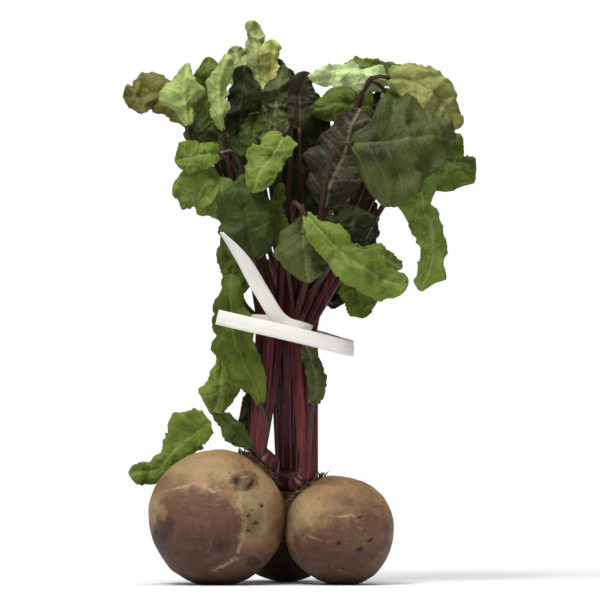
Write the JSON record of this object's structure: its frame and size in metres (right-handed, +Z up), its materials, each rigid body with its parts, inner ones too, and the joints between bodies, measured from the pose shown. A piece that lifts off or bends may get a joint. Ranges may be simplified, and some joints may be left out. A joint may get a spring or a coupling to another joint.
{
  "type": "beetroot bunch",
  "caption": "Fresh beetroots with ribbed stalks and wilting leaves, held together by a flat wired tie and standing upright on their roots.",
  "frame": {"origin": "on the surface that the bunch stands on, under the middle of its bounding box", "axes": "+Z up along the stalks, -Y towards the side seen in the picture, +X to its right"},
  "size_m": [0.2166, 0.1624, 0.3432],
  "materials": {
    "skin": "dull earthy root skin, tan above and purple-brown below",
    "stalk": "glossy crimson stalk, ribbed lengthwise",
    "leaf": "soft wilting leaf, green with paler veins",
    "strap": "plain white coated strip"
  },
  "bodies": {
    "root": {"beetroot_left": "skin", "beetroot_right": "skin", "beetroot_back": "skin", "stalks_left": "stalk", "stalks_right": "stalk", "stalks_back": "stalk", "leaf_left_tip": "leaf", "leaf_left_pale": "leaf", "leaf_left_dark": "leaf", "leaf_left_middle": "leaf", "leaf_left_fold": "leaf", "leaf_left_small": "leaf", "leaf_left_low": "leaf", "leaf_centre_narrow": "leaf", "leaf_front_bright": "leaf", "leaf_front_oval": "leaf", "leaf_tie_behind": "leaf", "leaf_tie_left": "leaf", "leaf_crown_left": "leaf", "leaf_stem_left": "leaf", "leaf_droop_upper": "leaf", "leaf_droop_lower": "leaf", "leaf_front_crinkled": "leaf", "leaf_front_slim": "leaf", "leaf_front_long": "leaf", "leaf_front_second": "leaf", "leaf_front_droop": "leaf", "leaf_right_low": "leaf", "leaf_right_big": "leaf", "leaf_right_dry": "leaf", "leaf_right_yellow": "leaf", "leaf_right_pale": "leaf", "leaf_right_top": "leaf", "leaf_right_roof": "leaf", "leaf_right_far": "leaf", "leaf_right_hanging": "leaf", "leaf_right_fold": "leaf", "leaf_stem_right": "leaf", "leaf_top_tall": "leaf", "leaf_top_yellow": "leaf", "leaf_top_left": "leaf", "leaf_top_brown": "leaf", "leaf_top_purple": "leaf", "leaf_centre_olive": "leaf", "leaf_shade_left": "leaf", "leaf_shade_middle": "leaf", "leaf_shade_right": "leaf", "leaf_shade_far": "leaf", "leaf_back_left": "leaf", "leaf_back_middle": "leaf", "leaf_back_right": "leaf", "leaf_back_tall": "leaf", "leaf_back_top_left": "leaf", "leaf_back_top_right": "leaf", "leaf_back_low_left": "leaf", "leaf_back_low_right": "leaf", "leaf_back_low": "leaf", "leaf_shade_low": "leaf", "leaf_shade_roof": "leaf", "tie_strap": "strap"}
  },
  "joints": []
}
